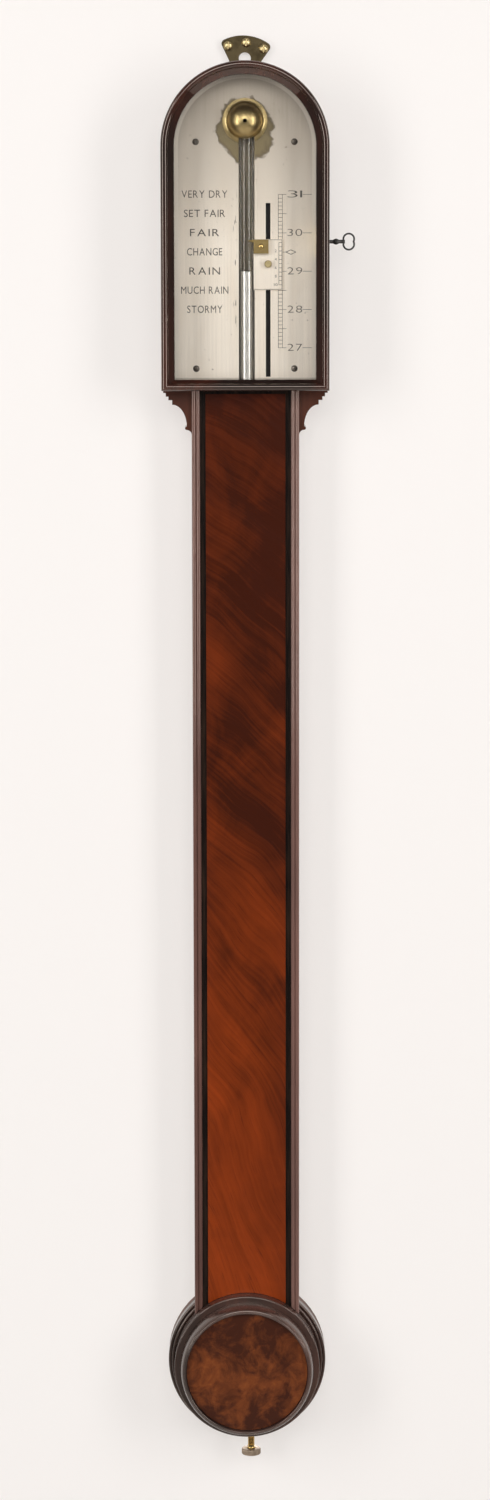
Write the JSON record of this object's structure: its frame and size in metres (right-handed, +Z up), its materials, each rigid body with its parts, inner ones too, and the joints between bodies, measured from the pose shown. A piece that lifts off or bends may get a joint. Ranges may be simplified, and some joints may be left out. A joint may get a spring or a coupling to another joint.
{
  "type": "stick barometer",
  "caption": "Wall-hung mercury stick barometer: arched glazed head with silvered scale and vernier, lock and key, long panelled trunk, and turned cistern drum with portable screw.",
  "frame": {"origin": "centre of the hanging hole, on the wall plane", "axes": "+Z up along the case, -Y out of the wall towards the viewer, +X to the viewer's right"},
  "size_m": [0.1289, 0.051, 0.9737],
  "materials": {
    "carcase_wood": "oiled",
    "stained_bed": "stained",
    "ebonised_wood": "polished",
    "polished_mahogany": "polished",
    "black_stringing": "polished",
    "flame_mahogany": "polished",
    "burr_veneer": "polished",
    "dark_brass": "aged",
    "bright_brass": "polished",
    "silvered_brass": "silvered and engraved",
    "blued_steel": "blued",
    "dark_iron": "worn",
    "tube_glass": "clear",
    "door_pane": "clear",
    "mercury": "liquid",
    "boxwood": "plain",
    "bag_leather": "plain"
  },
  "bodies": {
    "case": {"backboard": "carcase_wood", "plate_bed": "stained_bed", "head_case": "ebonised_wood", "trunk_stile_left": "ebonised_wood", "trunk_stile_right": "ebonised_wood", "drum_body": "ebonised_wood", "drum_cover": "ebonised_wood", "base_moulding_left": "polished_mahogany", "base_moulding_right": "polished_mahogany", "bracket_left": "polished_mahogany", "bracket_right": "polished_mahogany", "stringing_left": "black_stringing", "stringing_right": "black_stringing", "stringing_top": "black_stringing", "trunk_panel": "flame_mahogany", "burr_panel": "burr_veneer", "hanger_plate": "dark_brass", "hanger_screws": "bright_brass", "hanger_back_screws": "bright_brass", "dome_cap": "bright_brass", "screw_bush": "bright_brass", "lock_box": "bright_brass", "hinge_leaves_case": "bright_brass", "hinge_pins": "bright_brass", "register_plate": "silvered_brass", "plate_screws": "blued_steel", "glass_tube": "tube_glass", "mercury_column": "mercury", "cistern_mercury": "mercury", "cistern_box": "boxwood", "cistern_lid": "boxwood", "leather_bag": "bag_leather"},
    "door": {"door_frame": "ebonised_wood", "door_glass": "door_pane", "glazing_bead": "ebonised_wood", "hinge_leaves_door": "bright_brass", "door_catch": "bright_brass"},
    "vernier": {"vernier_plate": "silvered_brass", "pointer_block": "bright_brass", "vernier_knob": "bright_brass", "vernier_nut": "bright_brass"},
    "key": {"key": "dark_iron", "lock_bolt": "bright_brass"},
    "pad": {"pressure_pad": "boxwood"},
    "screw": {"cistern_screw": "bright_brass"}
  },
  "joints": [
    {"name": "door_swing", "type": "hinge", "parent": "case", "child": "door", "pos_m": [-0.0548, -0.0329, -0.13], "axis": [0, 0, -1], "range_deg": [0, 110]},
    {"name": "vernier_slide", "type": "slide", "parent": "case", "child": "vernier", "axis": [0, 0, 1], "range_m": [-0.057, 0.031]},
    {"name": "key_turn", "type": "hinge", "parent": "case", "child": "key", "pos_m": [0.055, -0.025, -0.1208], "axis": [-1, 0, 0], "range_deg": [0, 90]},
    {"name": "pad_lift", "type": "slide", "parent": "case", "child": "pad", "axis": [0, 0, 1], "range_m": [0, 0.005], "deforming": ["leather_bag"]},
    {"name": "screw_turn", "type": "hinge", "parent": "pad", "child": "screw", "pos_m": [0.0028, -0.016, -0.95], "axis": [0, 0, 1], "range_deg": [0, 1800]}
  ],
  "couplings": [
    {"joint": "pad_lift", "follows": "screw_turn", "m_per_rad": 0.00015915}
  ]
}
